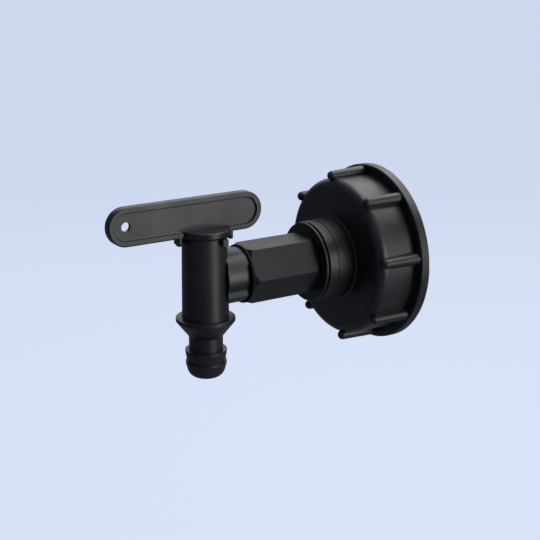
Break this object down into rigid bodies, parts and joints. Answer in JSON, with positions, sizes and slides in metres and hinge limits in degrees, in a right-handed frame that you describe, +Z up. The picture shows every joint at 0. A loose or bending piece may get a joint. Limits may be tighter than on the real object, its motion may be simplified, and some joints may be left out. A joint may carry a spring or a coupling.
{
  "type": "ibc tank valve",
  "caption": "Lever tap with a barbed hose nose, joined by a hexagonal reducing coupling to a wide ribbed screw cap for a tank outlet.",
  "frame": {"origin": "centre of the cap's open mouth, on the axis of its thread, which is also the water's way in", "axes": "+X along the thread's axis, from the tap towards the tank; +Z up along the barrel, from the hose nose to the lever; the lever lies along the pipe at rest, which is open"},
  "size_m": [0.1341, 0.08, 0.083],
  "materials": {
    "cap_plastic": "satin black moulded polypropylene",
    "gasket_rubber": "matt black rubber",
    "seal_rubber": "matt black rubber",
    "coupling_plastic": "satin black moulded polypropylene",
    "washer_rubber": "matt black rubber",
    "tap_plastic": "satin black moulded polypropylene",
    "seat_rubber": "matt black rubber",
    "lever_plastic": "satin black moulded polypropylene",
    "plug_plastic": "satin black moulded polypropylene",
    "ring_rubber": "matt black rubber"
  },
  "bodies": {
    "valve_body": {"cap": "cap_plastic", "tank_gasket": "gasket_rubber", "neck_seal": "seal_rubber", "coupling": "coupling_plastic", "inlet_washer": "washer_rubber", "tap_body": "tap_plastic", "port_seat": "seat_rubber"},
    "lever_assembly": {"lever": "lever_plastic", "valve_plug": "plug_plastic", "upper_plug_ring": "ring_rubber", "lower_plug_ring": "ring_rubber"}
  },
  "joints": [
    {"name": "lever_turn", "type": "hinge", "parent": "valve_body", "child": "lever_assembly", "pos_m": [-0.0895, 0, 0.0196], "axis": [0, 0, 1], "range_deg": [0, 90]}
  ]
}
